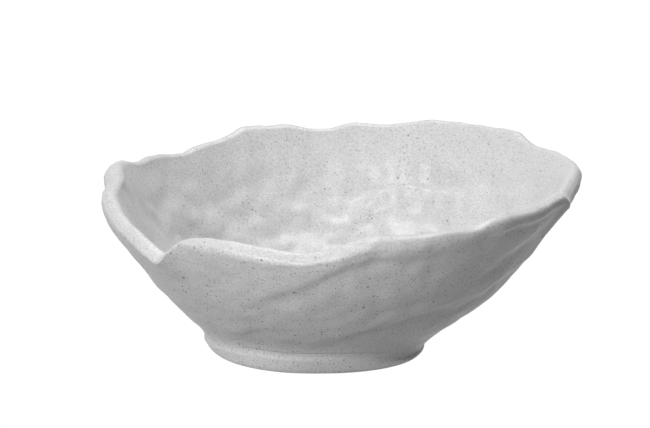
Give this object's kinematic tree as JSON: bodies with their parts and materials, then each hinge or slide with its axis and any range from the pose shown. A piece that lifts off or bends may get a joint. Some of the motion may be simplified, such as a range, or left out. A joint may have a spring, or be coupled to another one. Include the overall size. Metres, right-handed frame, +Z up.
{
  "type": "serving bowl",
  "caption": "Free-form serving bowl for dip or chips: deep leaning shell, wavy stepped rim with a thick flat lip, soft folds, low round foot ring with a recess.",
  "frame": {"origin": "on the table, under the middle of the bowl's outline seen from above", "axes": "+X right along the bowl's widest line, towards the side the rim leans to; +Y back; +Z up; the flatter front stretch of rim with the two steps faces -Y"},
  "size_m": [0.1986, 0.1972, 0.0768],
  "materials": {
    "shell": "satin, light grey with fine dark specks",
    "foot": "satin, light grey with fine dark specks"
  },
  "bodies": {
    "root": {"bowl_body": "shell", "foot_ring": "foot"}
  },
  "joints": []
}
